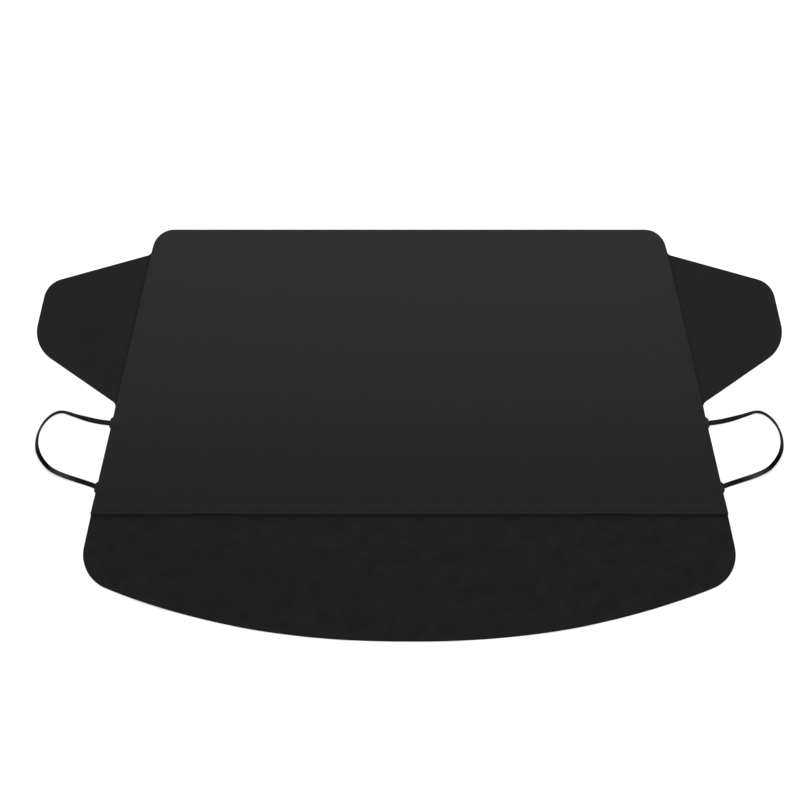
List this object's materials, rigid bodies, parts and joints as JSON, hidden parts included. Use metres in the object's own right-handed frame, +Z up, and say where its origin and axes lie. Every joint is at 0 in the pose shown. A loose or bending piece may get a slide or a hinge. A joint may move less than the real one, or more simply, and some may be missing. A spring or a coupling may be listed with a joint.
{
  "type": "windshield frost cover",
  "caption": "Black padded frost cover for a car windshield, with cloth door wings, elastic mirror loops and a bowed wiper flap, laid flat.",
  "frame": {"origin": "middle of the laid-out cover, on the surface it lies on", "axes": "+X to the right across the cover, +Y towards the panel's narrow top edge, +Z up out of the surface"},
  "size_m": [1.9274, 1.063, 0.013],
  "materials": {
    "padded_cloth": "matte coated cloth over thin padding",
    "flap_cloth": "matte cloth",
    "wing_cloth": "matte cloth",
    "elastic": "satin woven elastic"
  },
  "bodies": {
    "root": {"main_panel": "padded_cloth", "wiper_flap": "flap_cloth", "wing_left": "wing_cloth", "wing_right": "wing_cloth", "mirror_loop_left": "elastic", "mirror_loop_right": "elastic"}
  },
  "joints": []
}
